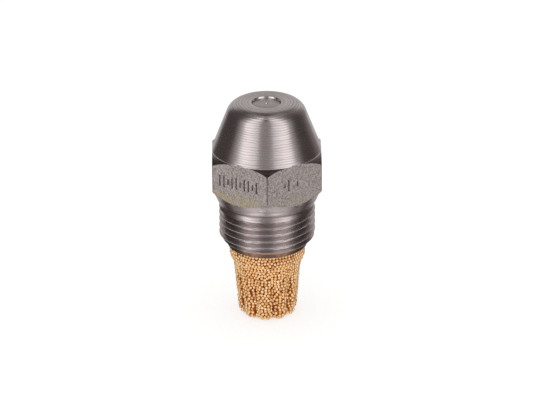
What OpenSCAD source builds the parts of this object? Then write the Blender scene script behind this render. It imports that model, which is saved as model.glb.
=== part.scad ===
// Oil burner nozzle: a pressure-atomising spray nozzle with a sintered bead filter.
// Millimetres, +Z up. The nozzle stands on the flat end of its filter, with its axis on Z.
// The spray leaves at the top, and the thread at the bottom screws into the burner's adapter.

/* [Nozzle body] */
// Length of the steel body, from its threaded end to its front face
body_length = 21.7; // [21:0.05:22.5]
// Width of the spanner hexagon across its flats
hex_width = 16; // [15.8:0.1:17]
// Height of the middle of a spanner flat
hex_height = 6.4; // [5:0.1:6.6]
// Drop from the middle of a flat's upper edge to its corner
hex_corner_drop = 0.9; // [0.5:0.05:1.2]
// Rise from the middle of a flat's lower edge to its corner
hex_corner_rise = 1.35; // [0.5:0.05:1.8]
// Radius of the rounded crown above the hexagon's corners
crown_round = 3; // [2.4:0.1:5]
// Radius of the rounded collar below the hexagon
collar_round = 1.2; // [1.15:0.05:1.8]
// Radius of the plain neck above the thread
neck_radius = 6.88; // [6.6:0.02:7]

/* [Head] */
// Height of the conical head
head_height = 7.2; // [6:0.05:7.5]
// Radius of the head at its foot
head_foot_radius = 8.06; // [7.8:0.01:8.1]
// Radius where the cone would meet the front face without its rounded edge
head_face_radius = 5.3; // [5:0.02:5.8]
// Radius of the rounded edge around the front face
head_edge_round = 2.15; // [0.4:0.05:2.4]
// Radius of the recess in the front face
recess_radius = 2.13; // [1.8:0.01:2.4]
// Depth of the recess in the front face
recess_depth = 0.25; // [0.2:0.05:0.8]

/* [Outer thread] */
// Radius of the thread's crests
thread_radius = 7.12; // [7.05:0.01:7.14]
// Distance between neighbouring crests
thread_pitch = 1.058; // [1:0.002:1.1]
// Depth of the thread
thread_depth = 0.64; // [0.4:0.02:0.64]
// Number of crests
thread_crests = 5; // [3:1:5]
// Height of the lowest crest above the body's lower end
thread_start = 1.36; // [1.2:0.02:1.4]
// Radius of the body's lower end, inside its chamfer
end_radius = 6.3; // [6.2:0.05:6.8]

/* [Bore] */
// Radius of the long bore that the lock screw and the filter screw into
bore_radius = 4.3; // [4.1:0.05:4.5]
// Depth of the long bore
bore_depth = 13.9; // [13.8:0.1:14.5]
// Radius of the chamber around the swirl cone
chamber_radius = 3.45; // [3.3:0.05:3.6]
// Gap between a screwed piece and its bore
thread_gap = 0.03; // [0.02:0.01:0.08]
// Gap between a pressed piece and its seat
press_gap = 0.02; // [0.01:0.01:0.03]

/* [Orifice disc] */
// Thickness of the disc's flange
disc_thickness = 1.8; // [1.4:0.1:2.2]
// Distance from the front face down to the shoulder that the flange seats on
disc_shoulder = 1.95; // [1.7:0.05:2.2]
// Radius of the spray orifice
orifice_radius = 0.14; // [0.1:0.01:0.3]
// Length of the spray orifice
orifice_length = 0.4; // [0.2:0.05:0.5]
// Radius of the small countersink around the orifice
orifice_mouth_radius = 0.3; // [0.25:0.01:0.5]
// Depth of the countersink
orifice_mouth_depth = 0.15; // [0.1:0.05:0.4]
// Radius of the disc's inner cone where it opens
cone_mouth_radius = 2; // [1.8:0.05:2.2]

/* [Swirl cone] */
// Length of the part of the cone that lies inside the disc
swirl_nose_length = 1.8; // [1.4:0.1:2]
// Radius of the cone's round head
swirl_head_radius = 2.7; // [2.5:0.05:2.9]
// Length of the cone's round head
swirl_head_length = 1.9; // [1.6:0.1:2.2]
// Radius of the tail that sits in the lock screw
swirl_tail_radius = 1.3; // [1.1:0.05:1.5]
// Length of the tail
swirl_tail_length = 1; // [0.8:0.1:1.2]
// Number of tangential slots
slot_count = 4; // [3:1:5]
// Width of a tangential slot
slot_width = 0.35; // [0.25:0.05:0.45]
// Depth of a tangential slot
slot_depth = 0.3; // [0.2:0.05:0.4]

/* [Lock screw] */
// Length of the lock screw's threaded part
lock_thread_length = 2.8; // [2.2:0.1:3.2]
// Length of the lock screw's nose, which presses on the swirl cone
lock_nose_length = 2.17; // [2.1:0.01:2.4]
// Radius of the nose
lock_nose_radius = 2.5; // [2.4:0.05:2.6]
// Radius of the fuel passage along the screw
lock_bore_radius = 1; // [0.8:0.05:1.1]
// Radius of the cross holes that let the fuel out of the nose
cross_hole_radius = 0.4; // [0.3:0.05:0.45]
// Width of the screwdriver slot
driver_slot_width = 1; // [0.8:0.1:1.4]
// Depth of the screwdriver slot
driver_slot_depth = 1.1; // [0.8:0.1:1.4]

/* [Filter bush] */
// Thickness of the bush's flange, which is clamped against the body
bush_flange_height = 0.8; // [0.6:0.05:1]
// Radius of the bush's flange
bush_flange_radius = 5.95; // [5.85:0.05:6.1]
// Length of the screwed stub inside the body
bush_stub_length = 3; // [2.4:0.1:3.4]
// Length of the spigot inside the filter cup
bush_spigot_length = 1.9; // [1.5:0.1:2.2]
// Radius of the spigot
bush_spigot_radius = 3.3; // [3.1:0.05:3.4]
// Radius of the fuel passage through the bush
bush_bore_radius = 2.2; // [1.8:0.1:2.4]
// Distance between the crests of the fine inner thread
fine_pitch = 0.75; // [0.7:0.05:0.8]
// Depth of the fine inner thread
fine_depth = 0.3; // [0.2:0.02:0.4]

/* [Filter cup] */
// Height of the filter cup
cup_height = 11.2; // [10:0.1:12.5]
// Radius of the cup's collar
cup_collar_radius = 5.68; // [5.5:0.02:5.8]
// Height of the cup's straight collar
cup_collar_height = 1.4; // [1.2:0.1:2.2]
// Height of the slope below the collar
cup_slope_height = 1.7; // [0.8:0.1:2]
// Radius at the top of the long taper
cup_top_radius = 5; // [4.7:0.02:5.1]
// Radius at the foot of the long taper
cup_foot_radius = 4.2; // [4:0.02:4.4]
// Size of the bevel around the foot
cup_foot_chamfer = 0.5; // [0.2:0.05:0.6]
// Radius of the hollow at its mouth
cup_hollow_radius = 2.5; // [2.2:0.05:2.6]
// Thickness of the cup's floor
cup_floor = 1.8; // [1.4:0.1:2.4]
// Number of lengthwise flutes
flute_count = 10; // [8:1:12]
// Radius of the round cutter of a flute
flute_radius = 0.75; // [0.5:0.05:0.9]
// Depth of a flute at the foot
flute_depth = 0.55; // [0.3:0.05:0.7]
// Height above the foot at which the flutes fade out
flute_height = 6.8; // [5:0.1:7.5]
// Angle of the first flute, measured from the front
flute_phase = 10; // [0:1:35]

/* [Hidden] */
$fn = 96;

hex_sides = 6;
cut = 1;                  // how far a cutter reaches past the face it opens
steel = "#948a87";
bright_steel = "#b9b5b0";
brass = "#b08a4a";
ring_brown = "#9a5f48";
bronze = "#dca25f";

// Heights of the pieces' main faces
body_bottom = cup_height + bush_flange_height;
body_top = body_bottom + body_length;
head_foot = body_top - head_height;
hex_bottom = head_foot - hex_height;
bore_top = body_bottom + bore_depth;
disc_top = body_top - disc_shoulder;
disc_bottom = disc_top - disc_thickness;
disc_face = body_top - recess_depth;

// Head: its rounded edge touches the front face and the cone
head_angle = atan((head_foot_radius - head_face_radius) / head_height);
edge_centre = [head_face_radius - head_edge_round * tan((90 - head_angle) / 2),
               body_top - head_edge_round];

// Hexagon: the crown is an arc from the head's foot down past the corners
hex_corner_radius = hex_width / 2 / cos(180 / hex_sides);
crown_start = [head_foot_radius, head_foot];
crown_end = [hex_corner_radius, head_foot - hex_corner_drop];
crown_chord = norm(crown_end - crown_start);
crown_angle = atan2(crown_end.x - crown_start.x, crown_start.y - crown_end.y);
crown_sweep = asin(crown_chord / 2 / crown_round);
crown_centre = (crown_start + crown_end) / 2
    - crown_round * cos(crown_sweep) * [cos(crown_angle), sin(crown_angle)];

// Below the hexagon, a straight chamfer leads to the collar, which is rounded down to the neck
chamfer_reach = 0.5;
chamfer_slope = hex_corner_rise / (hex_corner_radius - hex_width / 2);
collar_centre = [hex_width / 2 - collar_round, hex_bottom - 0.2];
collar_sweep = acos((neck_radius - collar_centre.x) / collar_round);

// The disc's inner cone, which the swirl cone follows
inner_cone_height = disc_face - orifice_mouth_depth - orifice_length - disc_bottom;
inner_cone_slope = (cone_mouth_radius - orifice_radius) / inner_cone_height;
swirl_shoulder = disc_bottom - 0.3;
swirl_tip = disc_bottom + swirl_nose_length;
swirl_head_bottom = swirl_shoulder - swirl_head_length;
swirl_tail_bottom = swirl_head_bottom - swirl_tail_length;

lock_top = swirl_head_bottom - thread_gap;
lock_shoulder = lock_top - lock_nose_length;
lock_bottom = lock_shoulder - lock_thread_length;
lock_pocket_depth = swirl_tail_length + 0.05;
cross_hole_height = lock_shoulder + cross_hole_radius + 0.2;

cup_taper_top = cup_height - cup_collar_height - cup_slope_height;

// The radius of the disc's inner cone at a height
function inner_cone_radius(height) =
    cone_mouth_radius - (height - disc_bottom) * inner_cone_slope;

// Points along an arc
function arc_points(centre, radius, from, to, steps = 8) = [
    for (step = [0 : steps])
        let (angle = from + (to - from) * step / steps)
            centre + radius * [cos(angle), sin(angle)]
];

// One ring groove of a thread, with 60 degree flanks and a flat crest an eighth of a pitch wide.
// top is the height of the crest above the groove.
function groove_points(top, radius, depth, pitch) = [
    [radius, top - pitch / 16],
    [radius - depth, top - pitch / 16 - depth * tan(30)],
    [radius - depth, top - pitch * 15 / 16 + depth * tan(30)],
    [radius, top - pitch * 15 / 16],
];

// The outer line of a row of grooves below the crest at height top
function thread_points(top, grooves, radius, depth, pitch) = [
    for (groove = [0 : grooves - 1])
        each groove_points(top - groove * pitch, radius, depth, pitch)
];

// A screwed cylinder that stands on the origin, with ring grooves for its thread
module screwed_cylinder(radius, length, pitch, depth) {
    grooves = floor(length / pitch) - 1;
    first_crest = length - (length - grooves * pitch) / 2;
    edge = depth / 2;
    rotate_extrude()
        polygon(concat(
            [[0, length], [radius - edge, length], [radius, length - edge]],
            thread_points(first_crest, grooves, radius, depth, pitch),
            [[radius, edge], [radius - edge, 0], [0, 0]]));
}

// The turned outline of the body: end chamfer, thread, neck, collar, hexagon chamfers and head
module body_outline() {
    crest_bottom = body_bottom + thread_start;
    crest_top = crest_bottom + (thread_crests - 1) * thread_pitch;
    polygon(concat(
        [[0, body_top]],
        arc_points(edge_centre, head_edge_round, 90, head_angle),
        arc_points(crown_centre, crown_round, crown_angle + crown_sweep, crown_angle - 2 * crown_sweep),
        [[hex_corner_radius + chamfer_reach,
          hex_bottom + hex_corner_rise + chamfer_reach * chamfer_slope]],
        arc_points(collar_centre, collar_round, 0, -collar_sweep),
        [[neck_radius, crest_top + thread_pitch / 2],
         [thread_radius, crest_top + thread_pitch / 16]],
        thread_points(crest_top, thread_crests - 1, thread_radius, thread_depth, thread_pitch),
        [[thread_radius, body_bottom + thread_radius - end_radius],
         [end_radius, body_bottom],
         [0, body_bottom]]));
}

// The turned inside of the body: lead-in, long bore, chamber and the hole for the disc's nose
module body_hollow() {
    lead_in = 0.35;
    rotate_extrude()
        polygon([
            [0, body_bottom - cut],
            [bore_radius + lead_in + cut, body_bottom - cut],
            [bore_radius, body_bottom + lead_in],
            [bore_radius, bore_top],
            [chamber_radius, bore_top],
            [chamber_radius, disc_top],
            [recess_radius, disc_top],
            [recess_radius, body_top + cut],
            [0, body_top + cut]]);
}

module nozzle_body() {
    color(steel)
    difference() {
        intersection() {
            rotate_extrude() body_outline();
            // a corner of the hexagon faces the front
            rotate([0, 0, 30])
                cylinder(r = hex_corner_radius, h = body_top + cut, $fn = hex_sides);
        }
        body_hollow();
    }
}

module orifice_disc() {
    color(bright_steel)
    rotate_extrude()
        polygon([
            [cone_mouth_radius, disc_bottom],
            [chamber_radius - press_gap, disc_bottom],
            [chamber_radius - press_gap, disc_top],
            [recess_radius - press_gap, disc_top],
            [recess_radius - press_gap, disc_face],
            [orifice_mouth_radius, disc_face],
            [orifice_radius, disc_face - orifice_mouth_depth],
            [orifice_radius, disc_bottom + inner_cone_height]]);
}

// A slot along the swirl cone's face, tangential to its tip
module swirl_slot() {
    tip_radius = inner_cone_radius(swirl_tip) - thread_gap;
    slot_length = 4;
    translate([0, tip_radius - slot_width, swirl_tip])
        rotate([0, 90 - atan(inner_cone_slope), 0])
            translate([-cut, 0, -slot_depth])
                cube([slot_length, slot_width, slot_depth + cut]);
}

module swirl_cone() {
    head_edge = 0.2;
    color(brass)
    difference() {
        rotate_extrude()
            polygon([
                [0, swirl_tail_bottom],
                [swirl_tail_radius, swirl_tail_bottom],
                [swirl_tail_radius, swirl_head_bottom],
                [swirl_head_radius, swirl_head_bottom],
                [swirl_head_radius, swirl_shoulder - head_edge],
                [swirl_head_radius - head_edge, swirl_shoulder],
                [inner_cone_radius(swirl_shoulder) - thread_gap, swirl_shoulder],
                [inner_cone_radius(swirl_tip) - thread_gap, swirl_tip],
                [0, swirl_tip]]);
        for (slot = [0 : slot_count - 1])
            rotate([0, 0, slot * 360 / slot_count])
                swirl_slot();
    }
}

module lock_screw() {
    color(brass)
    difference() {
        union() {
            translate([0, 0, lock_bottom])
                screwed_cylinder(bore_radius - thread_gap, lock_thread_length, fine_pitch, fine_depth);
            translate([0, 0, lock_shoulder - cut])
                cylinder(r = lock_nose_radius, h = lock_nose_length + cut);
        }
        // fuel passage, from the driver slot up to the cross holes
        translate([0, 0, lock_bottom - cut])
            cylinder(r = lock_bore_radius, h = cross_hole_height - lock_bottom + cut);
        // pocket for the swirl cone's tail
        translate([0, 0, lock_top - lock_pocket_depth])
            cylinder(r = swirl_tail_radius + thread_gap, h = lock_pocket_depth + cut);
        for (turn = [0, 90])
            translate([0, 0, cross_hole_height])
                rotate([90, 0, turn])
                    cylinder(r = cross_hole_radius, h = 2 * (lock_nose_radius + cut), center = true);
        translate([0, 0, lock_bottom])
            cube([2 * (bore_radius + cut), driver_slot_width, 2 * driver_slot_depth], center = true);
    }
}

module filter_bush() {
    color(ring_brown)
    difference() {
        union() {
            translate([0, 0, cup_height - bush_spigot_length])
                cylinder(r = bush_spigot_radius, h = bush_spigot_length + bush_flange_height / 2);
            translate([0, 0, cup_height])
                cylinder(r = bush_flange_radius, h = bush_flange_height);
            translate([0, 0, body_bottom])
                screwed_cylinder(bore_radius - thread_gap, bush_stub_length, fine_pitch, fine_depth);
        }
        translate([0, 0, cup_height - bush_spigot_length - cut])
            cylinder(r = bush_bore_radius,
                     h = bush_spigot_length + bush_flange_height + bush_stub_length + 2 * cut);
    }
}

// A round cutter that lies deepest at the cup's foot and leaves its face at flute_height
module flute_cutter() {
    surface_radius = cup_foot_radius
        + (cup_top_radius - cup_foot_radius) * flute_height / cup_taper_top;
    foot_radius = cup_foot_radius + flute_radius - flute_depth;
    lean = atan((surface_radius + flute_radius - foot_radius) / flute_height);
    translate([0, -foot_radius, 0])
        rotate([lean, 0, 0])
            translate([0, 0, -cut])
                cylinder(r = flute_radius, h = flute_height + cut);
}

module filter_cup() {
    hollow_taper = 0.6;
    socket_radius = bush_spigot_radius + press_gap;
    socket_bottom = cup_height - bush_spigot_length - press_gap;
    color(bronze)
    difference() {
        rotate_extrude()
            polygon([
                [0, 0],
                [cup_foot_radius - cup_foot_chamfer, 0],
                [cup_foot_radius, cup_foot_chamfer],
                [cup_top_radius, cup_taper_top],
                [cup_collar_radius, cup_height - cup_collar_height],
                [cup_collar_radius, cup_height],
                [0, cup_height]]);
        rotate_extrude()
            polygon([
                [0, cup_floor],
                [cup_hollow_radius - hollow_taper, cup_floor],
                [cup_hollow_radius, socket_bottom],
                [socket_radius, socket_bottom],
                [socket_radius, cup_height + cut],
                [0, cup_height + cut]]);
        for (flute = [0 : flute_count - 1])
            rotate([0, 0, flute_phase + flute * 360 / flute_count])
                flute_cutter();
    }
}

nozzle_body();
orifice_disc();
swirl_cone();
lock_screw();
filter_bush();
filter_cup();
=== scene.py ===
"""Looks for the oil burner nozzle: turned steel, brass internals and a filter of sintered bronze beads.

Shapes are worked out in millimetres, like the CAD model's, and become metres when a mesh is made.
"""

import math
import random

import bmesh
import bpy
import numpy as np
from mathutils import Matrix, Vector
from mathutils.kdtree import KDTree


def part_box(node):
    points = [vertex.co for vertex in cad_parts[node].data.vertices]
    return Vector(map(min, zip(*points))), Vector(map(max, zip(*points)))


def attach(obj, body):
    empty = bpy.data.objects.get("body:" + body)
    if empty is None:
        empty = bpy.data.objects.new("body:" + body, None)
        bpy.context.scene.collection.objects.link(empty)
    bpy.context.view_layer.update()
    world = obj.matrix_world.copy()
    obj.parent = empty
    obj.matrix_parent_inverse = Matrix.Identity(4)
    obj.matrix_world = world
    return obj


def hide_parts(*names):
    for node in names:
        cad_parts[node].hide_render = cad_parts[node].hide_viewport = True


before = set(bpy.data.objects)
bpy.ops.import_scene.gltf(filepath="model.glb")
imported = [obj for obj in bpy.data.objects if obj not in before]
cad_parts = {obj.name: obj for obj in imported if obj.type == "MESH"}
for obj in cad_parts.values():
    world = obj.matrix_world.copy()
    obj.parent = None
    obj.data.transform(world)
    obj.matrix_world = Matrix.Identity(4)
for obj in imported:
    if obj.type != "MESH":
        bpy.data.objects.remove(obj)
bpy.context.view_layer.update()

MM = 0.001
FRONT = -math.pi / 2  # the angle about Z that faces the camera


# ---------------------------------------------------------------- sizes


def node_span(node):
    """The node's lowest and highest Z and its largest X, in millimetres."""
    low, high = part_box(node)
    return low[2] / MM, high[2] / MM, high[0] / MM


body_bottom, body_top, flat_distance = node_span("nozzle_body")
disc_bottom, disc_face, disc_radius = node_span("orifice_disc")
swirl_bottom, swirl_tip, swirl_radius = node_span("swirl_cone")
lock_bottom, lock_top, screw_radius = node_span("lock_screw")
bush_bottom, bush_top, flange_radius = node_span("filter_bush")
_, cup_top, cup_radius = node_span("filter_cup")

# Head and hexagon
HEAD_HEIGHT = 7.2
HEX_HEIGHT = 6.4
FOOT_RADIUS = 8.06
FACE_RADIUS = 5.3
FACE_EDGE_ROUND = 2.15
RECESS_RADIUS = 2.03
RECESS_FLARE = 0.12
CORNER_DROP = 0.9
CORNER_RISE = 1.35
CROWN_ROUND = 3.0
CORNER_ROUND = 0.05
MARK_HEIGHT = 0.55  # of the hexagon's height
head_foot = body_top - HEAD_HEIGHT
hex_bottom = head_foot - HEX_HEIGHT
hex_corner = flat_distance / math.cos(math.pi / 6)
mark_height = hex_bottom + HEX_HEIGHT * MARK_HEIGHT

# Collar, neck and outer thread
COLLAR_RADIUS = flat_distance - 0.03
COLLAR_DROP = 0.1
COLLAR_HEIGHT = 1.35
COLLAR_FOOT = 7.4
COLLAR_STEP = 0.45
NECK_RADIUS = 6.88
THREAD_RADIUS = 7.12
THREAD_PITCH = 1.058
THREAD_DEPTH = 0.72
THREAD_TOP = 5.75  # above the body's lower end, where the thread has run out
FIRST_CREST = 4.54  # above the body's lower end, the highest full crest at the front
CREST_FLAT = 1 / 18  # of a thread's pitch
END_RADIUS = 6.3
END_BEVEL = 0.1

# Bore, and the fine thread of the screws inside it
BORE_RADIUS = 4.3
BORE_DEPTH = 13.9
CHAMBER_RADIUS = 3.45
DISC_SHOULDER = 1.95  # below the front face
FINE_PITCH = 0.75
FINE_DEPTH = 0.3
disc_seat = body_top - DISC_SHOULDER

# Filter
CUP_COLLAR_HEIGHT = 1.4
CUP_SLOPE_HEIGHT = 1.7
CUP_TOP_RADIUS = 5.1
CUP_FOOT_RADIUS = 4.4
FLUTES = 10
FLUTE_PHASE = math.radians(10)
FLUTE_DEPTH = 0.7
FLUTE_HEIGHT = 8.6
FLUTE_HALF_WIDTH = 0.34  # of the distance between flutes
FLUTE_FADE = 2.1  # how quickly they deepen below their upper end
FOOT_ROUND = 0.42
FOOT_ROUND_HEIGHT = 0.8
BEAD_RADIUS = 0.27
BEAD_SPACING = 0.53


# ---------------------------------------------------------------- mesh helpers


def mesh_from(name, points, faces):
    """A smooth mesh from points in millimetres. Points that coincide are joined."""
    mesh = bpy.data.meshes.new(name)
    mesh.from_pydata([(x * MM, y * MM, z * MM) for x, y, z in points], [], faces)
    edit = bmesh.new()
    edit.from_mesh(mesh)
    bmesh.ops.remove_doubles(edit, verts=edit.verts, dist=2e-4 * MM)
    bmesh.ops.recalc_face_normals(edit, faces=edit.faces)
    edit.to_mesh(mesh)
    edit.free()
    mesh.shade_smooth()
    return mesh


def add_object(name, mesh, *materials):
    piece = bpy.data.objects.new(name, mesh)
    bpy.context.scene.collection.objects.link(piece)
    for material in materials:
        mesh.materials.append(material)
    return piece


def stand_for(piece, node, body):
    """The piece replaces a CAD node and moves with its body."""
    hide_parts(node)
    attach(piece, body)


def fillet(before, corner, after, radius, steps=5):
    """Points of the arc that rounds a corner, kept short of the neighbouring corners."""
    before, corner, after = Vector(before), Vector(corner), Vector(after)
    back, ahead = before - corner, after - corner
    half = back.angle(ahead) / 2
    reach = min(radius / math.tan(half), 0.45 * back.length, 0.45 * ahead.length)
    back.normalize()
    ahead.normalize()
    centre = corner + (back + ahead).normalized() * (reach / math.cos(half))
    start, end = corner + back * reach - centre, corner + ahead * reach - centre
    turn = math.pi - 2 * half
    points = []
    for step in range(steps + 1):
        share = step / steps
        spoke = start * math.sin((1 - share) * turn) + end * math.sin(share * turn)
        points.append(tuple(centre + spoke / math.sin(turn)))
    return points


def rounded(corners):
    """Points along an open outline. A corner is (r, z) or (r, z, rounding radius)."""
    points = [corners[0][:2]]
    for before, corner, after in zip(corners, corners[1:], corners[2:]):
        if len(corner) > 2:
            points += fillet(before[:2], corner[:2], after[:2], corner[2])
        else:
            points.append(corner)
    return points + [corners[-1][:2]]


def revolve(name, column_at, angles):
    """A closed mesh. column_at(angle) gives a closed ring of (r, z), of the same length at any angle."""
    points, faces = [], []
    columns = len(angles)
    for angle in angles:
        column = column_at(angle)
        points += [(r * math.cos(angle), r * math.sin(angle), z) for r, z in column]
    rows = len(column)
    for j in range(columns):
        here, there = j * rows, (j + 1) % columns * rows
        for i in range(rows):
            n = (i + 1) % rows
            faces.append((here + i, here + n, there + n, there + i))
    return mesh_from(name, points, faces)


def even_angles(count):
    return [FRONT + 2 * math.pi * step / count for step in range(count)]


def soften(piece, degrees=35):
    """Keeps flat faces flat beside their narrow rounded edges, and keeps real corners sharp."""
    edit = bmesh.new()
    edit.from_mesh(piece.data)
    for edge in edit.edges:
        finishes = {face.material_index for face in edge.link_faces}
        edge.smooth = len(finishes) == 1 and edge.calc_face_angle(0) < math.radians(degrees)
    edit.to_mesh(piece.data)
    edit.free()
    weighted = piece.modifiers.new("weighted", "WEIGHTED_NORMAL")
    weighted.keep_sharp = True


def prism(points, depth, place, taper=0.0):
    """A cutter: a flat shape, extruded both ways by depth and placed by a matrix in millimetres.

    With a taper its far end shrinks and its near end grows by that much on every side.
    """
    count = len(points)
    wide, tall = (max(abs(point[axis]) for point in points) for axis in (0, 1))
    solid = [
        place @ Vector((x * (1 + side * taper / wide), y * (1 + side * taper / tall), side * depth))
        for side in (-1, 1)
        for x, y in points
    ]
    faces = [tuple(range(count))[::-1], tuple(range(count, 2 * count))]
    faces += [(i, (i + 1) % count, count + (i + 1) % count, count + i) for i in range(count)]
    return solid, faces


def carve(piece, cutters):
    """Cuts prisms that don't touch each other out of the piece."""
    points, faces = [], []
    for cutter_points, cutter_faces in cutters:
        start = len(points)
        points += cutter_points
        faces += [tuple(start + corner for corner in face) for face in cutter_faces]
    cutter = add_object("cutter", mesh_from("cutter", points, faces))
    cut = piece.modifiers.new("cut", "BOOLEAN")
    cut.operation = "DIFFERENCE"
    cut.solver = "EXACT"
    cut.object = cutter
    with bpy.context.temp_override(object=piece):
        bpy.ops.object.modifier_apply(modifier=cut.name)
    bpy.data.objects.remove(cutter)


def circle(radius, count=24):
    turns = [2 * math.pi * step / count for step in range(count)]
    return [(radius * math.cos(turn), radius * math.sin(turn)) for turn in turns]


def rectangle(width, height):
    x, y = width / 2, height / 2
    return [(-x, -y), (x, -y), (x, y), (-x, y)]


def eased(value):
    value = min(max(value, 0), 1)
    return value * value * (3 - 2 * value)


def thread_column(angle, top, bottom, crest, pitch, radius, depth, runout, rows):
    """A right-hand thread with 60 degree flanks from top to bottom, fading in below its run-out.

    crest is the height of a crest at the front.
    """
    column = []
    turns = (angle - FRONT) / (2 * math.pi)
    for row in range(rows + 1):
        z = top + (bottom - top) * row / rows
        phase = (z - crest) / pitch - turns
        flank = pitch * (abs(phase - round(phase)) - CREST_FLAT / 2) / math.tan(math.radians(30))
        groove = min(max(flank, 0), depth) * eased((top - z) / runout)
        column.append((radius - groove, z))
    return column


# ---------------------------------------------------------------- material helpers


def put(tree, kind, inputs=None, **settings):
    """Adds a node. An input takes a value or another node's output."""
    node = tree.nodes.new(kind)
    for name, value in settings.items():
        setattr(node, name, value)
    for name, value in (inputs or {}).items():
        if isinstance(value, bpy.types.NodeSocket):
            tree.links.new(value, node.inputs[name])
        else:
            node.inputs[name].default_value = value
    return node


def maths(tree, operation, a, b=0.0):
    return put(tree, "ShaderNodeMath", {0: a, 1: b}, operation=operation).outputs[0]


def spread(tree, value, low, high, to_low=0.0, to_high=1.0):
    """Eases a value from one range to another."""
    inputs = {"Value": value, "From Min": low, "From Max": high, "To Min": to_low, "To Max": to_high}
    kind = "ShaderNodeMapRange"
    return put(tree, kind, inputs, interpolation_type="SMOOTHSTEP").outputs[0]


def blend(tree, share, first, second):
    """Mixes two colours."""
    mix = put(tree, "ShaderNodeMix", {0: share, 6: first, 7: second}, data_type="RGBA")
    return mix.outputs[2]


def noise(tree, vector, scale, detail=3.0):
    inputs = {"Vector": vector, "Scale": scale, "Detail": detail}
    return put(tree, "ShaderNodeTexNoise", inputs).outputs[0]


def place_mm(tree):
    """The object's own coordinates in millimetres: the vector, its parts, and the radius from the axis."""
    place = put(tree, "ShaderNodeTexCoord").outputs["Object"]
    scaled = put(tree, "ShaderNodeVectorMath", {0: place, 3: 1 / MM}, operation="SCALE").outputs[0]
    parts = put(tree, "ShaderNodeSeparateXYZ", {0: scaled}).outputs
    across = maths(tree, "MULTIPLY", parts[0], parts[0])
    along = maths(tree, "MULTIPLY", parts[1], parts[1])
    radius = maths(tree, "SQRT", maths(tree, "ADD", across, along))
    return scaled, parts, radius


def rings(tree, parts, radius, scale, wander=0.12, detail=3.0):
    """Noise in rings around the axis, as a lathe tool leaves, that slowly changes around them."""
    drift = maths(tree, "MULTIPLY", parts[0], wander / scale)
    vector = put(tree, "ShaderNodeCombineXYZ", {0: radius, 1: parts[2], 2: drift}).outputs[0]
    return noise(tree, vector, scale, detail)


def metal(name, anisotropy=0.0):
    """A metallic material. Returns it with its tree and its shader."""
    material = bpy.data.materials.new(name)
    material.use_nodes = True
    tree = material.node_tree
    shader = tree.nodes["Principled BSDF"]
    shader.inputs["Metallic"].default_value = 1.0
    if anisotropy:
        # the grooves run around the axis, so reflections spread along it
        shader.inputs["Anisotropic"].default_value = anisotropy
        shader.inputs["Anisotropic Rotation"].default_value = 0.25
        tangent = put(tree, "ShaderNodeTangent", direction_type="RADIAL", axis="Z").outputs[0]
        tree.links.new(tangent, shader.inputs["Tangent"])
    return material, tree, shader


def finish_metal(tree, shader, colour, roughness, height, depth_mm):
    """Links colour, roughness and a bump of this depth to the shader."""
    bump = put(tree, "ShaderNodeBump", {"Height": height, "Strength": 1.0, "Distance": depth_mm * MM})
    tree.links.new(colour, shader.inputs["Base Color"])
    tree.links.new(roughness, shader.inputs["Roughness"])
    tree.links.new(bump.outputs[0], shader.inputs["Normal"])


# ---------------------------------------------------------------- materials

FEED = 0.46  # millimetres between the lathe tool's grooves
STEEL = (0.58, 0.53, 0.525, 1)
DARK_STEEL = (0.45, 0.395, 0.395, 1)
OIL_STAIN = (0.45, 0.385, 0.235, 1)
BROWN_FILM = (0.44, 0.365, 0.36, 1)
CROWN_SHADE = (0.20, 0.17, 0.165, 1)
FRONT_CORNER_SHADE = (0.05, 0.036, 0.032, 1)
PALE_STEEL = (0.62, 0.59, 0.58, 1)
BRIGHT_STEEL = (0.85, 0.83, 0.82, 1)
GROUND_STEEL = (0.515, 0.465, 0.455, 1)
GROUND_DARK = (0.24, 0.21, 0.20, 1)
MARK_SHADE = (0.16, 0.13, 0.11, 1)
BRASS = (0.78, 0.56, 0.26, 1)
BRASS_DARK = (0.55, 0.36, 0.15, 1)
COPPER_BROWN = (0.30, 0.165, 0.125, 1)
COPPER_DARK = (0.20, 0.11, 0.075, 1)
BRONZE = (1.0, 0.655, 0.315, 1)
BRONZE_PALE = (1.0, 0.79, 0.51, 1)
BRONZE_DARK = (0.64, 0.25, 0.06, 1)
GAP_SHADE_BRONZE = (0.30, 0.085, 0.012, 1)


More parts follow.
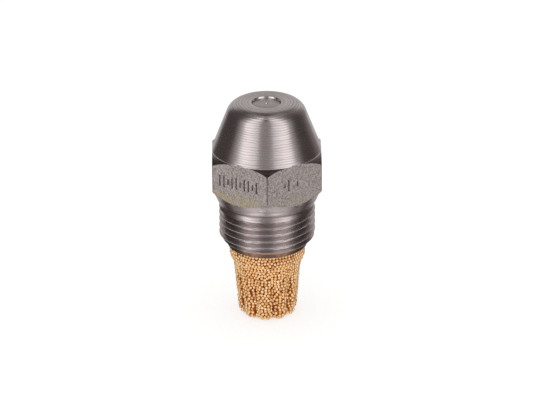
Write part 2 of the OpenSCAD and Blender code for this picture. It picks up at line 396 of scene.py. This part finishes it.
def turned_steel():
    """Uneven rings from the lathe, painted shade on the crown, a brown film from the hexagon down, and
    painted highlight lines on the thread's crests and the cone's foot.
    """
    material, tree, shader = metal("turned_steel", anisotropy=0.6)
    place, parts, radius = place_mm(tree)
    fine = rings(tree, parts, radius, 5.0)
    broad = rings(tree, parts, radius, 1.2, 0.5)
    # the feed grooves are even, and the broad rings push them about a little
    feed = maths(tree, "MULTIPLY", maths(tree, "SUBTRACT", parts[2], radius), 2 * math.pi / FEED)
    feed = maths(tree, "SINE", maths(tree, "ADD", feed, maths(tree, "MULTIPLY", broad, 9.0)))
    lathe = maths(tree, "ADD", fine, maths(tree, "MULTIPLY", feed, 0.27))
    blotch = noise(tree, place, 0.35, 4.0)
    colour = blend(tree, spread(tree, lathe, 0.3, 0.85), STEEL, DARK_STEEL)
    # painted shade: the outer crown is darkened, standing in for the dark it reflects
    crown = spread(tree, radius, FOOT_RADIUS + 0.02, FOOT_RADIUS + 0.12, 0.0, 0.85)
    crown = maths(tree, "MULTIPLY", crown, spread(tree, parts[2], mark_height, mark_height + 0.5))
    colour = blend(tree, crown, colour, CROWN_SHADE)
    # painted shade: the crown over the front corner is painted the blackest
    in_front = spread(tree, parts[1], -FOOT_RADIUS + 0.5, -FOOT_RADIUS + 0.1)
    colour = blend(tree, maths(tree, "MULTIPLY", crown, in_front), colour, FRONT_CORNER_SHADE)
    low = spread(tree, parts[2], hex_bottom + 1.2, hex_bottom - 0.1)
    film = maths(tree, "MULTIPLY", low, spread(tree, blotch, 0.4, 0.65, 0.05, 0.6))
    colour = blend(tree, film, colour, BROWN_FILM)
    # painted highlight: paler, less metallic steel in thin lines on the thread's crests and the cone's
    # foot
    patches_and_highlight = maths(tree, "ADD", crest_highlight(tree, parts, radius), foot_highlight(tree, parts, radius))
    patches_and_highlight = maths(tree, "MULTIPLY", patches_and_highlight, spread(tree, fine, 0.3, 0.6, 0.55, 1.0))
    colour = blend(tree, patches_and_highlight, colour, PALE_STEEL)
    metallic = maths(tree, "SUBTRACT", 1.0, maths(tree, "MULTIPLY", patches_and_highlight, 0.6))
    tree.links.new(metallic, shader.inputs["Metallic"])
    roughness = maths(tree, "ADD", spread(tree, lathe, 0.2, 0.8, 0.25, 0.34),
                      spread(tree, blotch, 0.3, 0.7, -0.03, 0.03))
    finish_metal(tree, shader, colour, roughness, lathe, 0.009)
    return material


def crest_highlight(tree, parts, radius):
    """1 on the crests of the outer thread, where a thin highlight line is painted."""
    crest = spread(tree, radius, THREAD_RADIUS - 0.035, THREAD_RADIUS - 0.005)
    below = spread(tree, parts[2], body_bottom + THREAD_TOP - 0.3, body_bottom + THREAD_TOP - 0.7)
    return maths(tree, "MULTIPLY", crest, below)


def foot_highlight(tree, parts, radius):
    """How strongly a thin highlight line is painted on the edge where the cone meets the crown above the
    hexagon.
    """
    off = maths(tree, "ABSOLUTE", maths(tree, "SUBTRACT", parts[2], head_foot))
    outside = spread(tree, radius, flat_distance - 0.35, flat_distance - 0.15)
    return maths(tree, "MULTIPLY", spread(tree, off, 0.07, 0.02, 0.0, 0.45), outside)


def ground_steel():
    """The matt, grainy flats of the hexagon, with an oily stain low on the flats."""
    material, tree, shader = metal("ground_steel")
    place, parts, radius = place_mm(tree)
    grain = noise(tree, place, 4.2, 2.0)
    speckle = noise(tree, place, 8.0, 1.0)
    patch = noise(tree, place, 0.6, 3.0)
    colour = blend(tree, spread(tree, grain, 0.42, 0.75), GROUND_STEEL, GROUND_DARK)
    colour = blend(tree, spread(tree, speckle, 0.48, 0.62, 0.0, 0.8), colour, GROUND_DARK)
    low = spread(tree, parts[2], hex_bottom + 2.6, hex_bottom + 0.4)
    left = spread(tree, parts[0], 1.0, -3.0, 0.25, 1.0)
    patchy = spread(tree, patch, 0.35, 0.6, 0.3, 1.0)
    stain = maths(tree, "MULTIPLY", maths(tree, "MULTIPLY", low, left), patchy)
    colour = blend(tree, stain, colour, OIL_STAIN)
    # painted shade: darker inside the punch marks and along the hexagon's corners
    colour = blend(tree, mark_and_corner_shade(tree, parts, radius), colour, MARK_SHADE)
    roughness = spread(tree, grain, 0.3, 0.7, 0.42, 0.58)
    height = maths(tree, "ADD", grain, maths(tree, "MULTIPLY", speckle, 0.4))
    finish_metal(tree, shader, colour, roughness, height, 0.035)
    return material


def mark_and_corner_shade(tree, parts, radius):
    """How much painted shade darkens the sunk punch marks and the hexagon's rounded corners."""
    # out is the distance from the axis, measured square to the nearest flat
    across = maths(tree, "ABSOLUTE", parts[0])
    along = maths(tree, "MULTIPLY", maths(tree, "ABSOLUTE", parts[1]), math.sqrt(0.75))
    slanted = maths(tree, "ADD", maths(tree, "MULTIPLY", across, 0.5), along)
    out = maths(tree, "MAXIMUM", across, slanted)
    sunk = spread(tree, out, flat_distance - 0.04, flat_distance - 0.16, 0.0, 0.5)
    corner = spread(tree, radius, hex_corner - 0.1, hex_corner - 0.04, 0.0, 0.75)
    return maths(tree, "MAXIMUM", sunk, corner)


def lapped_steel():
    """The orifice disc: fine rings, and a smoother spot around the orifice with a painted glint."""
    material, tree, shader = metal("lapped_steel", anisotropy=0.4)
    place, parts, radius = place_mm(tree)
    fine = rings(tree, parts, radius, 6.0)
    patch = noise(tree, place, 1.6, 3.0)
    colour = blend(tree, spread(tree, fine, 0.35, 0.8), STEEL, DARK_STEEL)
    # painted glint: a paler colour round the orifice, where the roughness is also lower
    spot = spread(tree, radius, 0.36, 0.3)
    colour = blend(tree, spot, colour, BRIGHT_STEEL)
    roughness = maths(tree, "SUBTRACT", spread(tree, patch, 0.3, 0.7, 0.4, 0.5),
                      maths(tree, "MULTIPLY", spot, 0.36))
    finish_metal(tree, shader, colour, roughness, fine, 0.006)
    return material


def turned_metal(name, bright, dark, rough, ring_scale=4.0):
    """Bright turned metal with rings and darker patches."""
    material, tree, shader = metal(name, anisotropy=0.5)
    place, parts, radius = place_mm(tree)
    fine = rings(tree, parts, radius, ring_scale)
    patch = noise(tree, place, 0.9, 4.0)
    patches_and_highlight = maths(tree, "MULTIPLY", spread(tree, patch, 0.35, 0.7), 0.6)
    colour = blend(tree, patches_and_highlight, bright, dark)
    colour = blend(tree, spread(tree, fine, 0.5, 0.8, 0.0, 0.4), colour, dark)
    roughness = spread(tree, patch, 0.3, 0.7, rough, rough + 0.14)
    finish_metal(tree, shader, colour, roughness, fine, 0.005)
    return material


def tarnished_brass():
    """Dull copper-brown brass, blotched by heat and oil."""
    material, tree, shader = metal("tarnished_brass")
    place, parts, radius = place_mm(tree)
    fine = rings(tree, parts, radius, 3.5)
    patch = noise(tree, place, 1.3, 5.0)
    colour = blend(tree, spread(tree, patch, 0.35, 0.65), COPPER_BROWN, COPPER_DARK)
    colour = blend(tree, spread(tree, fine, 0.55, 0.8, 0.0, 0.5), colour, COPPER_DARK)
    roughness = spread(tree, patch, 0.3, 0.7, 0.36, 0.52)
    finish_metal(tree, shader, colour, roughness, fine, 0.006)
    return material


def bead_bronze():
    """Bronze beads. Each takes its own tint, and has faint pits."""
    material, tree, shader = metal("bead_bronze")
    place = place_mm(tree)[0]
    tint = put(tree, "ShaderNodeVertexColor", layer_name="tint").outputs[0]
    tint = put(tree, "ShaderNodeSeparateColor", {0: tint}).outputs
    pits = noise(tree, place, 7.0, 2.0)
    colour = blend(tree, tint[0], BRONZE, BRONZE_PALE)
    colour = blend(tree, tint[1], colour, BRONZE_DARK)
    colour = blend(tree, spread(tree, pits, 0.6, 0.8, 0.0, 0.5), colour, BRONZE_DARK)
    roughness = spread(tree, pits, 0.3, 0.7, 0.2, 0.34)
    shader.inputs["Metallic"].default_value = 0.71
    shader.inputs["Specular Tint"].default_value = BRONZE
    finish_metal(tree, shader, colour, roughness, pits, 0.015)
    return material


def core_bronze_shade():
    """The inside of the filter's wall, seen in the gaps between the beads, painted dark as shade."""
    material, tree, shader = metal("core_bronze_shade")
    place = place_mm(tree)[0]
    lumps = noise(tree, place, 2.6, 2.0)
    # painted shade: the wall is coloured dark to stand in for the shade between the beads
    colour = blend(tree, spread(tree, lumps, 0.4, 0.65), GAP_SHADE_BRONZE, BRONZE_DARK)
    roughness = spread(tree, lumps, 0.3, 0.7, 0.6, 0.8)
    finish_metal(tree, shader, colour, roughness, lumps, 0.15)
    return material


def pale_floor():
    """A plain pale floor with the faintest unevenness."""
    material = bpy.data.materials.new("pale_floor")
    material.use_nodes = True
    tree = material.node_tree
    shader = tree.nodes["Principled BSDF"]
    place = put(tree, "ShaderNodeTexCoord").outputs["Object"]
    cloud = noise(tree, place, 6.0)
    shade = spread(tree, cloud, 0.2, 0.8, 0.405, 0.415)
    tree.links.new(shade, shader.inputs["Base Color"])
    shader.inputs["Emission Color"].default_value = (1, 1, 1, 1)
    shader.inputs["Emission Strength"].default_value = 0.62
    shader.inputs["Roughness"].default_value = 1.0
    shader.inputs["Specular IOR Level"].default_value = 0.0
    return material


# ---------------------------------------------------------------- nozzle body


def hexagon_radius(angle):
    """Distance from the axis to the side of the hexagon, with its corners slightly rounded."""
    sixth = math.pi / 3
    off_corner = abs((angle - FRONT + sixth / 2) % sixth - sixth / 2)
    centre = (flat_distance - CORNER_ROUND) / math.cos(math.pi / 6)
    across = centre * math.sin(off_corner)
    flat = flat_distance / math.cos(math.pi / 6 - off_corner)
    if across > CORNER_ROUND / 2:
        return flat
    return min(flat, centre * math.cos(off_corner) + math.sqrt(CORNER_ROUND**2 - across**2))


def crown_height(radius):
    """Height of the rounded crown above the hexagon at a radius outside the head's foot."""
    run = hex_corner - FOOT_RADIUS
    chord = math.hypot(run, CORNER_DROP)
    inset = math.sqrt(CROWN_ROUND**2 - (chord / 2) ** 2) / chord
    centre_r = FOOT_RADIUS + run / 2 - CORNER_DROP * inset
    centre_z = head_foot - CORNER_DROP / 2 - run * inset
    return centre_z + math.sqrt(CROWN_ROUND**2 - (radius - centre_r) ** 2)


def head_column():
    """The flared recess wall, the front face with its rounded edge, and the cone."""
    recess_edge = rounded([
        (RECESS_RADIUS, disc_seat),
        (RECESS_RADIUS, disc_face - 0.05),
        (RECESS_RADIUS + RECESS_FLARE, body_top, 0.03),
        (3, body_top),
    ])
    face_edge = fillet((0, body_top), (FACE_RADIUS, body_top), (FOOT_RADIUS, head_foot),
                       FACE_EDGE_ROUND, 12)
    top = face_edge[-1]
    slope = (FOOT_RADIUS - top[0]) / (top[1] - head_foot)
    flat_top = head_foot + (FOOT_RADIUS - flat_distance) / slope
    cone = []
    for row in range(1, 13):
        z = top[1] + (flat_top - top[1]) * row / 12
        cone.append((top[0] + (top[1] - z) * slope, z))
    return recess_edge + face_edge + cone


def hexagon_column(side):
    """Crown, flat, lower chamfer and collar, where the hexagon's side is this far from the axis."""
    start = min(side, FOOT_RADIUS)
    column = [(start, head_foot)]
    for step in range(1, 7):
        radius = start + (side - start) * step / 6
        column.append((radius, crown_height(radius) if side > FOOT_RADIUS else head_foot))
    chamfer = CORNER_RISE / (hex_corner - flat_distance)
    top, foot = column[-1][1], hex_bottom + (side - flat_distance) * chamfer
    column += [(side, top + (foot - top) * row / 5) for row in range(1, 6)]
    return column + collar_points()


def collar_points():
    """The conical collar below the hexagon, with a rounded step down to the neck."""
    top = hex_bottom - COLLAR_DROP
    foot = top - COLLAR_HEIGHT
    step = foot - COLLAR_STEP
    return rounded([
        (COLLAR_RADIUS, top),
        (COLLAR_FOOT, foot, 0.5),
        (NECK_RADIUS, step, 0.5),
        (NECK_RADIUS, step - 0.3),
    ])


def outer_thread(angle):
    """The outer thread, cut away by the bevel at its end."""
    top, bottom = body_bottom + THREAD_TOP, body_bottom + END_BEVEL
    column = thread_column(angle, top, bottom, body_bottom + FIRST_CREST, THREAD_PITCH,
                           THREAD_RADIUS, THREAD_DEPTH, 0.9, 150)
    grown = []
    for r, z in column:
        rise = NECK_RADIUS + (THREAD_RADIUS - NECK_RADIUS) * eased((top - z) / 0.5)
        grown.append((min(r, rise, END_RADIUS + z - body_bottom), z))
    return grown


def bore_column():
    """End face, lead-in, long bore, chamber and the disc's seat."""
    bore_top = body_bottom + BORE_DEPTH
    lead_in = 0.35
    return rounded([
        (END_RADIUS + END_BEVEL, body_bottom + END_BEVEL),
        (END_RADIUS, body_bottom, 0.05),
        (BORE_RADIUS + lead_in, body_bottom, 0.03),
        (BORE_RADIUS, body_bottom + lead_in, 0.03),
        (BORE_RADIUS, bore_top, 0.05),
        (CHAMBER_RADIUS, bore_top, 0.05),
        (CHAMBER_RADIUS, disc_seat, 0.05),
        (RECESS_RADIUS, disc_seat),
    ])


def body_angles():
    """Even angles, with more beside the hexagon's corners so that their rounding shows."""
    turns = [2 * math.pi * step / 240 for step in range(240)]
    close = [math.radians(0.25 * step) for step in (-3, -2, -1, 1, 2, 3)]
    turns += [corner * math.pi / 3 + turn for corner in range(6) for turn in close]
    return [FRONT + turn for turn in sorted(turn % (2 * math.pi) for turn in turns)]


def punch_marks():
    """Generic punch marks on the two front flats: plain ticks of two heights, and one dot."""
    tall, short, dot = rectangle(0.26, 1.8), rectangle(0.26, 0.9), circle(0.25, 12)
    start, spacing, depth = -3.3, 0.68, 0.18
    left_row = [(start + spacing * step, short if step % 3 == 2 else tall) for step in range(10)]
    right_row = [(-1.7, dot), (-1.0, tall), (0.5, short)]
    cutters = []
    for turn, row in ((-math.pi / 6, left_row), (math.pi / 6, right_row)):
        facing = Matrix.Rotation(turn, 4, "Z") @ Matrix.Translation((0, -flat_distance, mark_height))
        for along, shape in row:
            place = facing @ Matrix.Translation((along, 0, 0)) @ Matrix.Rotation(math.pi / 2, 4, "X")
            cutters.append(prism(shape, depth, place, taper=0.06))
    return cutters


def give_finishes(mesh):
    """Gives the hexagon's flats and their marks the ground finish, and the recess the polished one."""
    sixth = math.pi / 3
    for polygon in mesh.polygons:
        x, y, z = polygon.center / MM
        out = math.hypot(x, y)
        off_corner = abs((math.atan2(y, x) - FRONT + sixth / 2) % sixth - sixth / 2)
        on_side = out > flat_distance - 0.3 and hex_bottom < z < head_foot + 0.3
        flat = abs(polygon.normal.z) < 0.05 or abs(z - mark_height) < 1.1
        if on_side and flat and off_corner > math.radians(0.1):
            polygon.material_index = 1
        if out < RECESS_RADIUS + RECESS_FLARE and z > disc_seat:
            polygon.material_index = 2


def make_body(turned, ground, polished):
    head, bore = head_column(), bore_column()

    def column(angle):
        return head + hexagon_column(hexagon_radius(angle)) + outer_thread(angle) + bore

    mesh = revolve("steel_body", column, body_angles())
    piece = add_object("steel_body", mesh, turned, ground, polished)
    carve(piece, punch_marks())
    give_finishes(piece.data)
    soften(piece)
    stand_for(piece, "nozzle_body", "nozzle")


# ---------------------------------------------------------------- pieces inside the body


def make_disc(material):
    """The orifice disc: a flange, a nose that shows in the body's recess, and the orifice."""
    mouth, mouth_depth, orifice, length = 0.3, 0.15, 0.14, 0.4
    cone_mouth, nose = 2.0, RECESS_RADIUS - 0.02
    ring = rounded([
        (orifice, disc_face - mouth_depth - length),
        (cone_mouth, disc_bottom, 0.04),
        (disc_radius, disc_bottom, 0.12),
        (disc_radius, disc_seat, 0.08),
        (nose, disc_seat, 0.03),
        (nose, disc_face, 0.03),
        (mouth, disc_face, 0.04),
        (orifice, disc_face - mouth_depth, 0.03),
        (orifice, disc_face - mouth_depth - length),
    ])
    piece = add_object("spray_disc", revolve("spray_disc", lambda angle: ring, even_angles(144)), material)
    soften(piece)
    stand_for(piece, "orifice_disc", "nozzle")


def make_swirl_cone(material):
    """The swirl cone, with its tail below and tangential slots in its conical face."""
    tail, head_height, edge = 1.3, 1.9, 0.2
    shoulder_radius, tip_radius = 2.159, 0.835
    head_bottom = swirl_bottom + 1.0
    shoulder = head_bottom + head_height
    ring = rounded([
        (0, swirl_bottom),
        (tail, swirl_bottom, 0.15),
        (tail, head_bottom, 0.05),
        (swirl_radius, head_bottom, 0.12),
        (swirl_radius, shoulder - edge, 0.05),
        (swirl_radius - edge, shoulder, 0.05),
        (shoulder_radius, shoulder, 0.04),
        (tip_radius, swirl_tip, 0.06),
        (0, swirl_tip),
    ])
    piece = add_object("swirl_plug", revolve("swirl_plug", lambda angle: ring, even_angles(120)), material)
    slots, width, depth = 4, 0.35, 0.3
    lean = math.atan2(shoulder_radius - tip_radius, swirl_tip - shoulder)
    slot = rectangle(6, 2 * depth)
    for step in range(slots):
        turn = Matrix.Rotation(step * 2 * math.pi / slots, 4, "Z")
        tip = Matrix.Translation((tip_radius, tip_radius - width / 2, swirl_tip))
        along = Matrix.Rotation(math.pi / 2 - lean, 4, "Y") @ Matrix.Rotation(math.pi / 2, 4, "X")
        carve(piece, [prism(slot, width / 2, turn @ tip @ along)])
    soften(piece)
    stand_for(piece, "swirl_cone", "swirl")


def make_lock_screw(material):
    """The lock screw: a fine thread, a nose with cross holes, and a driver slot underneath."""
    nose, passage, pocket, nose_length = 2.5, 1.0, 1.33, 2.17
    shoulder = lock_top - nose_length
    hole_height = shoulder + 0.6
    inside = rounded([
        (0, hole_height),
        (passage, hole_height, 0.05),
        (passage, lock_bottom, 0.05),
        (screw_radius - 0.3, lock_bottom, 0.05),
        (screw_radius - 0.05, lock_bottom + 0.25),
    ])
    above = rounded([
        (screw_radius - 0.05, shoulder - 0.2),
        (screw_radius - 0.2, shoulder, 0.04),
        (nose, shoulder, 0.08),
        (nose, lock_top, 0.15),
        (pocket, lock_top, 0.08),
        (pocket, lock_top - 1.05, 0.05),
        (0, lock_top - 1.05),
    ])

    def column(angle):
        thread = thread_column(angle, shoulder - 0.2, lock_bottom + 0.25, shoulder - 0.6,
                               FINE_PITCH, screw_radius, FINE_DEPTH, 0.3, 60)
        return inside + thread[::-1] + above

    piece = add_object("lock_plug", revolve("lock_plug", column, even_angles(144)), material)
    for turn in (0, math.pi / 2):
        along = Matrix.Rotation(turn, 4, "Z") @ Matrix.Rotation(math.pi / 2, 4, "X")
        hole = Matrix.Translation((0, 0, hole_height)) @ along
        carve(piece, [prism(circle(0.4), nose + 1, hole)])
    carve(piece, [prism(rectangle(10, 1.0), 1.1, Matrix.Translation((0, 0, lock_bottom)))])
    soften(piece)
    stand_for(piece, "lock_screw", "lock")


def make_bush(material):
    """The filter bush: spigot, clamped flange and screwed stub, with a passage through it."""
    passage, spigot = 2.2, 3.3
    inside = rounded([
        (screw_radius - 0.05, bush_top - 0.25),
        (screw_radius - 0.3, bush_top, 0.05),
        (passage, bush_top, 0.1),
        (passage, bush_bottom, 0.1),
        (spigot, bush_bottom, 0.08),
        (spigot, cup_top, 0.04),
        (flange_radius, cup_top, 0.12),
        (flange_radius, body_bottom, 0.12),
        (screw_radius - 0.05, body_bottom, 0.04),
        (screw_radius - 0.05, body_bottom + 0.2),
    ])

    def column(angle):
        thread = thread_column(angle, bush_top - 0.25, body_bottom + 0.2, bush_top - 0.6,
                               FINE_PITCH, screw_radius, FINE_DEPTH, 0.3, 60)
        return inside + thread[::-1]

    piece = add_object("bush_ring", revolve("bush_ring", column, even_angles(180)), material)
    soften(piece)
    stand_for(piece, "filter_bush", "filter")


# ---------------------------------------------------------------- filter

taper_top = cup_top - CUP_COLLAR_HEIGHT - CUP_SLOPE_HEIGHT
slope_top = cup_top - CUP_COLLAR_HEIGHT


def flute_depth(angle, z):
    """How deep the flutes are at a place on the filter's side."""
    pitch = 2 * math.pi / FLUTES
    off = abs((angle - FRONT - FLUTE_PHASE + pitch / 2) % pitch - pitch / 2) / pitch
    across = eased(1 - off / FLUTE_HALF_WIDTH)
    return FLUTE_DEPTH * across * eased(FLUTE_FADE * (1 - z / FLUTE_HEIGHT))


def cup_surface(angle, z):
    """Radius of the filter's outside, flutes included."""
    if z > slope_top:
        return cup_radius
    if z > taper_top:
        return CUP_TOP_RADIUS + (cup_radius - CUP_TOP_RADIUS) * eased((z - taper_top) / CUP_SLOPE_HEIGHT)
    taper = CUP_FOOT_RADIUS + (CUP_TOP_RADIUS - CUP_FOOT_RADIUS) * z / taper_top
    foot_round = FOOT_ROUND * (1 - eased(z / FOOT_ROUND_HEIGHT))
    return taper - foot_round - flute_depth(angle, z)


def settle(centres, draw):
    """Pushes crowded beads on the side apart, and lays them back on the filter's surface."""
    centres = np.array(centres)
    sunk = np.array([draw.uniform(0, 0.1) for _ in centres])
    for _ in range(6):
        tree = KDTree(len(centres))
        for index, centre in enumerate(centres):
            tree.insert(centre, index)
        tree.balance()
        moved = centres.copy()
        for index, centre in enumerate(centres):
            for near, other, distance in tree.find_range(centre, BEAD_SPACING):
                if other != index:
                    push = 0.4 * (BEAD_SPACING / max(distance, 0.01) - 1)
                    moved[index] += (centre - np.array(near)) * push
        angles = np.arctan2(moved[:, 1], moved[:, 0])
        heights = np.clip(moved[:, 2], BEAD_RADIUS, cup_top - BEAD_RADIUS)
        for index, (angle, z) in enumerate(zip(angles, heights)):
            r = cup_surface(angle, z) - BEAD_RADIUS - sunk[index]
            centres[index] = (r * math.cos(angle), r * math.sin(angle), z)
    return [tuple(centre) for centre in centres]


def side_beads(draw):
    """Bead centres over the side: staggered rows, jittered and then settled."""
    centres = []
    rows = round((cup_top - BEAD_RADIUS * 2) / (BEAD_SPACING * 0.87))
    for row in range(rows + 1):
        z = BEAD_RADIUS + (cup_top - 2 * BEAD_RADIUS) * row / rows
        count = round(2 * math.pi * (cup_surface(0, z) - BEAD_RADIUS) * 1.03 / BEAD_SPACING)
        start = draw.uniform(0, 1)
        for step in range(count):
            angle = 2 * math.pi * (step + start + draw.uniform(-0.45, 0.45)) / count
            r = cup_surface(angle, z) - BEAD_RADIUS
            centres.append((r * math.cos(angle), r * math.sin(angle), z + draw.uniform(-0.18, 0.18)))
    return settle(centres, draw)


def foot_beads(draw):
    """Bead centres in a flat, uneven hexagonal grid over the foot."""
    centres = []
    reach = round(CUP_FOOT_RADIUS / BEAD_SPACING) + 2
    for row in range(-reach, reach + 1):
        for step in range(-reach, reach + 1):
            x = (step + row % 2 / 2) * BEAD_SPACING + draw.uniform(-0.08, 0.08)
            y = row * BEAD_SPACING * 0.87 + draw.uniform(-0.05, 0.05)
            angle = math.atan2(y, x)
            if math.hypot(x, y) < cup_surface(angle, 0) - 1.6 * BEAD_RADIUS:
                centres.append((x, y, BEAD_RADIUS + draw.uniform(0, 0.05)))
    return centres


def bead_template():
    """Points and faces of one ball of radius 1."""
    edit = bmesh.new()
    bmesh.ops.create_icosphere(edit, subdivisions=2, radius=1)
    points = np.array([vertex.co for vertex in edit.verts])
    faces = np.array([[vertex.index for vertex in face.verts] for face in edit.faces])
    edit.free()
    return points, faces


def bead_mesh(name, centres, draw):
    """One mesh of many beads, each with its own size, turn and tint."""
    ball, ball_faces = bead_template()
    points, faces, tints = [], [], []
    for index, centre in enumerate(centres):
        turn = np.array(Matrix.Rotation(draw.uniform(0, 6.28), 3, Vector((draw.random(), 1, 1))))
        size = BEAD_RADIUS * draw.uniform(0.86, 1.0)
        points.append((ball @ turn.T * size + centre) * MM)
        faces.append(ball_faces + index * len(ball))
        dark = draw.uniform(0.2, 0.7) if draw.random() < 0.18 else 0
        tints.append(np.tile((draw.random() ** 2, dark, 0, 1), (len(ball), 1)))
    mesh = bpy.data.meshes.new(name)
    mesh.from_pydata(np.concatenate(points).tolist(), [], np.concatenate(faces).tolist())
    tint = mesh.color_attributes.new("tint", "FLOAT_COLOR", "POINT")
    tint.data.foreach_set("color", np.concatenate(tints).astype(np.float32).ravel())
    mesh.shade_smooth()
    return mesh


def make_core(material):
    """The wall behind the beads: its fluted outside, its socket and its hollow."""
    inset, rows, rim = 1.5 * BEAD_RADIUS, 60, cup_top - 0.02
    socket, hollow, hollow_foot, floor = 3.32, 2.5, 1.9, 1.8
    inside = rounded([
        (cup_radius - inset, rim),
        (socket, rim, 0.05),
        (socket, cup_top - 1.92, 0.05),
        (hollow, cup_top - 1.92, 0.1),
        (hollow_foot, floor, 0.4),
        (0, floor),
    ])

    def column(angle):
        side = []
        for row in range(rows + 1):
            z = inset + (rim - inset) * row / rows
            side.append((cup_surface(angle, z) - inset, z))
        return [(0, inset)] + side + inside[1:]

    return add_object("filter_core", revolve("filter_core", column, even_angles(180)), material)


def make_filter(bead_material, core_material):
    low, high = 3.2, 7.6
    draw = random.Random(7)
    beads = side_beads(draw)
    groups = {
        "filter_beads_collar": [bead for bead in beads if bead[2] > high],
        "filter_beads_side": [bead for bead in beads if low < bead[2] <= high],
        "filter_beads_foot": [bead for bead in beads if bead[2] <= low] + foot_beads(draw),
    }
    pieces = [make_core(core_material)]
    for name, centres in groups.items():
        pieces.append(add_object(name, bead_mesh(name, centres, draw), bead_material))
    for piece in pieces:
        stand_for(piece, "filter_cup", "filter")


# ---------------------------------------------------------------- studio


def between(tree, value, low, high, soft):
    """1 where the value lies between two limits, with soft edges."""
    rise = spread(tree, value, low - soft / 2, low + soft / 2)
    fall = spread(tree, value, high + soft / 2, high - soft / 2)
    return maths(tree, "MULTIPLY", rise, fall)


def soft_studio():
    """Two tall soft boxes either side of the camera, dark sides, a pale backdrop, and dim light from above
    and from low behind.

    Angles are degrees: turned from the camera's side, and raised above the horizon.
    """
    world = bpy.data.worlds.new("soft_studio")
    bpy.context.scene.world = world
    world.use_nodes = True
    tree = world.node_tree
    direction = put(tree, "ShaderNodeTexCoord").outputs["Generated"]
    parts = put(tree, "ShaderNodeSeparateXYZ", {0: direction}).outputs
    toward = maths(tree, "MULTIPLY", parts[1], -1.0)
    turned = maths(tree, "DEGREES", maths(tree, "ARCTAN2", parts[0], toward))
    raised = maths(tree, "DEGREES", maths(tree, "ARCSINE", parts[2]))
    aside = maths(tree, "ABSOLUTE", turned)
    # each light: which angle around, from, to, raised from, raised to, softness, brightness
    lights = (
        (turned, -63, -20, -30, 110, 9, 0.97),
        (turned, -63, -20, -110, -30, 9, 0.66),
        (turned, -78, -36, -110, 110, 26, 0.50),
        (turned, 15, 60, -30, 110, 9, 0.97),
        (turned, 15, 60, -110, -30, 9, 0.66),
        (turned, 32, 74, -110, 110, 26, 0.45),
        (turned, -20, 15, -110, 50, 9, 0.28),
        (turned, 122, 150, -45, 72, 18, 0.16),
        (aside, 145, 200, -40, 36, 14, 0.56),
        (aside, 118, 160, 60, 110, 14, 0.42),
        (aside, 115, 163, -110, -56, 14, 0.95),
        (aside, 163, 200, -110, -56, 14, 0.32),
        (aside, -20, 200, -110, -62, 14, 0.12),
        (aside, 40, 120, -110, -58, 14, 0.25),
    )
    total = 0.07
    for around, start, end, low, high, soft, brightness in lights:
        inside = maths(tree, "MULTIPLY", between(tree, around, start, end, soft),
                       between(tree, raised, low, high, soft))
        total = maths(tree, "ADD", maths(tree, "MULTIPLY", inside, brightness), total)
    warm = blend(tree, spread(tree, total, 0.05, 0.5), (1.0, 0.82, 0.80, 1), (1.0, 0.985, 0.98, 1))
    painted = put(tree, "ShaderNodeBackground", {"Color": warm, "Strength": total}).outputs[0]
    plain = put(tree, "ShaderNodeBackground", {"Color": (1, 1, 1, 1), "Strength": 1.08}).outputs[0]
    rays = put(tree, "ShaderNodeLightPath").outputs
    mixed = put(tree, "ShaderNodeMixShader", {0: rays["Is Glossy Ray"], 1: plain, 2: painted})
    tree.links.new(mixed.outputs[0], tree.nodes["World Output"].inputs["Surface"])


def add_floor():
    reach = 600
    points = [(-reach, -reach, 0), (reach, -reach, 0), (reach, reach, 0), (-reach, reach, 0)]
    floor = add_object("floor", mesh_from("floor", points, [(0, 1, 2, 3)]), pale_floor())
    floor.visible_glossy = False


def add_camera():
    """A long lens, looking down on the nozzle a little below its head's foot."""
    target_height, distance, lens = 26.5, 464.0, 213.0
    raised, aim_below, turned, roll = 23.68, 0.957, -0.34, -0.43
    camera = bpy.data.objects.new("camera", bpy.data.cameras.new("camera"))
    camera.data.lens = lens
    camera.data.sensor_width = 36
    camera.data.clip_start = 0.02
    camera.data.clip_end = 20
    up = math.radians(raised)
    spot = Matrix.Translation((0, -distance * math.cos(up) * MM,
                               (target_height + distance * math.sin(up)) * MM))
    tilt = Matrix.Rotation(math.radians(90 - raised - aim_below), 4, "X")
    swing = Matrix.Rotation(math.radians(turned), 4, "Z")
    camera.matrix_world = swing @ spot @ tilt @ Matrix.Rotation(math.radians(roll), 4, "Z")
    bpy.context.scene.collection.objects.link(camera)
    bpy.context.scene.camera = camera


# ---------------------------------------------------------------- everything together

add_camera()
soft_studio()
add_floor()
bpy.context.scene.view_settings.view_transform = "Standard"

brass = turned_metal("turned_brass", BRASS, BRASS_DARK, 0.22)
polished = turned_metal("polished_steel", PALE_STEEL, STEEL, 0.03)
make_body(turned_steel(), ground_steel(), polished)
make_disc(lapped_steel())
make_swirl_cone(brass)
make_lock_screw(brass)
make_bush(tarnished_brass())
make_filter(bead_bronze(), core_bronze_shade())
